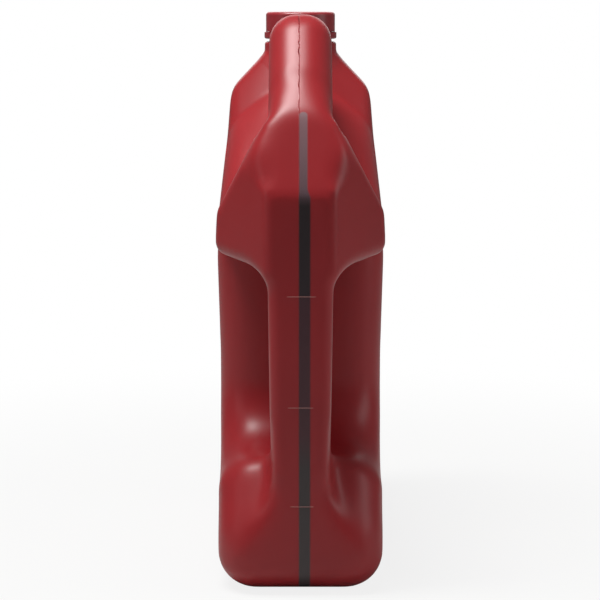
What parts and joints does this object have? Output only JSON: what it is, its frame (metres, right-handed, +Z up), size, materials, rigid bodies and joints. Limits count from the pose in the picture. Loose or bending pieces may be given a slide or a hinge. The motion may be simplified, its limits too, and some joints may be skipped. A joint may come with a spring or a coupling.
{
  "type": "motor oil jug",
  "caption": "Blow-moulded motor oil jug with a rear pour handle, a carry handle over the shoulder, and a screw cap on a threaded neck.",
  "frame": {"origin": "centre of the bounding box at the floor under the jug", "axes": "+Z up, -Y toward the pour handle, +Y toward the front face, +X to the right when the jug is seen from the pour handle"},
  "size_m": [0.1018, 0.2354, 0.332],
  "materials": {
    "red_hdpe": "satin, slightly translucent blow-moulded polyethylene",
    "cap_plastic": "satin",
    "liner_foam": "matte foamed liner"
  },
  "bodies": {
    "jug": {"bottle": "red_hdpe", "tamper_band": "cap_plastic"},
    "lifted_liner": {"cap_liner": "liner_foam"},
    "screw_cap": {"cap": "cap_plastic"}
  },
  "joints": [
    {"name": "cap_lift", "type": "slide", "parent": "jug", "child": "lifted_liner", "axis": [0, 0, 1], "range_m": [0, 0.01485]},
    {"name": "cap_turn", "type": "hinge", "parent": "lifted_liner", "child": "screw_cap", "pos_m": [0, 0.02965, 0.326], "axis": [0, 0, 1], "range_deg": [0, 1260]}
  ],
  "couplings": [
    {"joint": "cap_lift", "follows": "cap_turn", "m_per_rad": 0.0006737}
  ]
}
